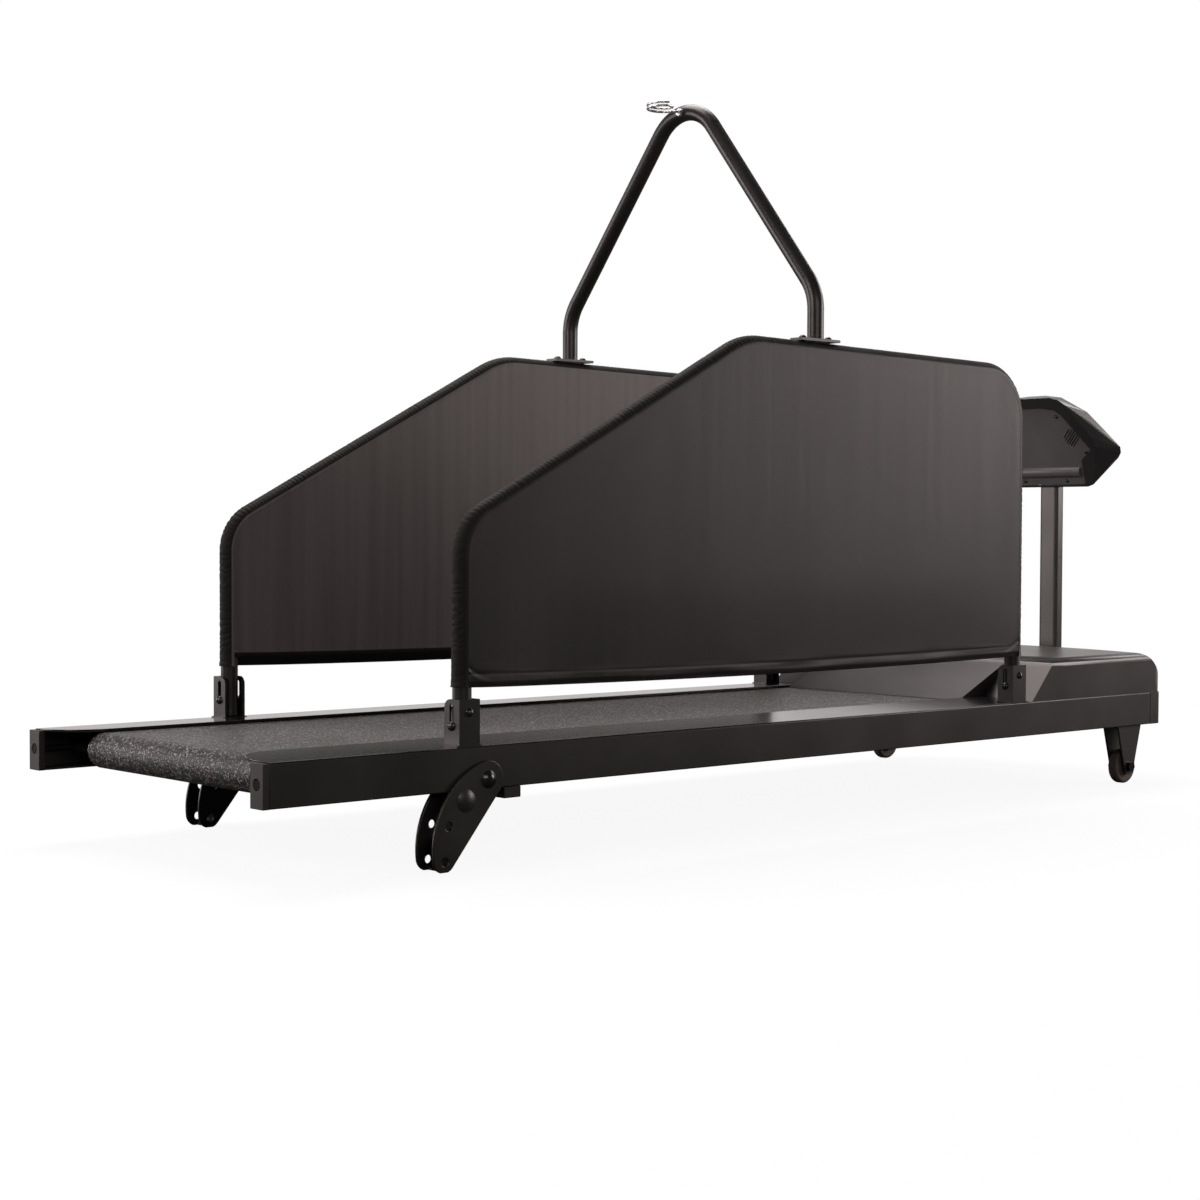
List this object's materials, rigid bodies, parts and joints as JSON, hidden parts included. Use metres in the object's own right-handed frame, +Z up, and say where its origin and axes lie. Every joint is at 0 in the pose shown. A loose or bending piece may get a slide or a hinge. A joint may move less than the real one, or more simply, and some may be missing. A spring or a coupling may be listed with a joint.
{
  "type": "dog treadmill",
  "caption": "Low dog treadmill with belt deck, motor hood, fabric side guards, a leash arch with a wire hook, a console on a post, rear incline legs and transport wheels.",
  "frame": {"origin": "on the floor, at the middle of the overall box", "axes": "+X towards the console, +Y to the left side, +Z up"},
  "size_m": [1.9876, 0.6176, 1.123],
  "materials": {
    "frame_paint": "satin powder coat",
    "strip_plastic": "smooth gloss",
    "black_plastic": "satin grain",
    "pad_rubber": "matt",
    "running_belt": "fine pebble texture",
    "deck_wood": "waxed board",
    "bare_steel": "turned",
    "black_steel": "black oxide",
    "motor_aluminium": "cast",
    "guard_fabric": "woven nylon",
    "hook_chrome": "polished",
    "wheel_rubber": "matt",
    "board_green": "satin",
    "speaker_black": "matt",
    "window_clear": "clear",
    "button_green": "satin",
    "button_red": "satin",
    "button_grey": "satin"
  },
  "bodies": {
    "base": {"right_rail": "frame_paint", "left_rail": "frame_paint", "cross_members": "frame_paint", "belly_pan": "frame_paint", "wheel_forks": "frame_paint", "guard_brackets": "frame_paint", "console_post": "frame_paint", "right_foot_strip": "strip_plastic", "left_foot_strip": "strip_plastic", "rail_end_caps": "black_plastic", "motor_hood": "black_plastic", "console_housing": "black_plastic", "console_back": "black_plastic", "power_inlet": "black_plastic", "deck_cushions": "pad_rubber", "rail_pads": "pad_rubber", "drive_belt": "pad_rubber", "running_belt": "running_belt", "deck_board": "deck_wood", "roller_bearings": "bare_steel", "rear_axle": "black_steel", "front_axle": "black_steel", "tension_bolts": "black_steel", "hood_screws": "black_steel", "wheel_bolts": "black_steel", "leg_pivot_bolts": "black_steel", "bracket_set_screws": "black_steel", "post_bolts": "black_steel", "console_screws": "black_steel", "motor_mount": "black_steel", "motor_body": "motor_aluminium", "motor_controller": "motor_aluminium", "console_board": "board_green", "speakers": "speaker_black", "display_window": "window_clear"},
    "guards": {"right_guard_frame": "frame_paint", "left_guard_frame": "frame_paint", "right_guard_cover": "guard_fabric", "left_guard_cover": "guard_fabric", "guard_bolts": "black_steel", "leash_arch": "frame_paint", "arch_screws": "black_steel", "leash_hook": "hook_chrome", "hook_nut": "hook_chrome"},
    "rear_roller": {"rear_roller": "bare_steel"},
    "front_roller": {"front_roller": "bare_steel", "roller_pulley": "bare_steel"},
    "motor_rotor": {"motor_rotor": "bare_steel"},
    "right_wheel": {"right_wheel": "wheel_rubber"},
    "left_wheel": {"left_wheel": "wheel_rubber"},
    "right_leg": {"right_leg": "frame_paint"},
    "left_leg": {"left_leg": "frame_paint"},
    "right_incline_pin": {"right_incline_pin": "black_steel"},
    "left_incline_pin": {"left_incline_pin": "black_steel"},
    "power_rocker": {"power_rocker": "button_red"},
    "button_start": {"button_start": "button_green"},
    "button_stop": {"button_stop": "button_red"},
    "button_faster": {"button_faster": "button_grey"},
    "button_slower": {"button_slower": "button_grey"}
  },
  "joints": [
    {"name": "guard_lift", "type": "slide", "parent": "base", "child": "guards", "axis": [0, 0, 1], "range_m": [0, 0.025]},
    {"name": "front_roller_spin", "type": "hinge", "parent": "base", "child": "front_roller", "pos_m": [0.56522, 0, 0.133], "axis": [0, 1, 0], "continuous": true},
    {"name": "rear_roller_spin", "type": "hinge", "parent": "base", "child": "rear_roller", "pos_m": [-0.92778, 0, 0.133], "axis": [0, 1, 0], "continuous": true},
    {"name": "motor_spin", "type": "hinge", "parent": "base", "child": "motor_rotor", "pos_m": [0.72522, 0, 0.163], "axis": [0, 1, 0], "continuous": true},
    {"name": "right_wheel_roll", "type": "hinge", "parent": "base", "child": "right_wheel", "pos_m": [0.81422, -0.274, 0.03], "axis": [0, 1, 0], "continuous": true},
    {"name": "left_wheel_roll", "type": "hinge", "parent": "base", "child": "left_wheel", "pos_m": [0.81422, 0.274, 0.03], "axis": [0, 1, 0], "continuous": true},
    {"name": "right_leg_fold", "type": "hinge", "parent": "base", "child": "right_leg", "pos_m": [-0.64778, -0.284, 0.116], "axis": [0, -1, 0], "range_deg": [0, 75]},
    {"name": "right_pin_pull", "type": "slide", "parent": "right_leg", "child": "right_incline_pin", "axis": [0, -1, 0], "range_m": [0, 0.05]},
    {"name": "left_leg_fold", "type": "hinge", "parent": "base", "child": "left_leg", "pos_m": [-0.64778, 0.284, 0.116], "axis": [0, -1, 0], "range_deg": [0, 75]},
    {"name": "left_pin_pull", "type": "slide", "parent": "left_leg", "child": "left_incline_pin", "axis": [0, 1, 0], "range_m": [0, 0.05]},
    {"name": "power_rock", "type": "hinge", "parent": "base", "child": "power_rocker", "pos_m": [0.94922, 0.084, 0.131], "axis": [0, -1, 0], "range_deg": [0, 14]},
    {"name": "start_press", "type": "slide", "parent": "base", "child": "button_start", "axis": [-0.9135, 0, -0.4067], "range_m": [0, 0.0015], "stiffness_N_per_m": 600},
    {"name": "stop_press", "type": "slide", "parent": "base", "child": "button_stop", "axis": [-0.9135, 0, -0.4067], "range_m": [0, 0.0015], "stiffness_N_per_m": 600},
    {"name": "faster_press", "type": "slide", "parent": "base", "child": "button_faster", "axis": [-0.9135, 0, -0.4067], "range_m": [0, 0.0015], "stiffness_N_per_m": 600},
    {"name": "slower_press", "type": "slide", "parent": "base", "child": "button_slower", "axis": [-0.9135, 0, -0.4067], "range_m": [0, 0.0015], "stiffness_N_per_m": 600}
  ],
  "couplings": [
    {"joint": "rear_roller_spin", "follows": "front_roller_spin", "ratio": 1},
    {"joint": "motor_spin", "follows": "front_roller_spin", "ratio": 1.6}
  ]
}
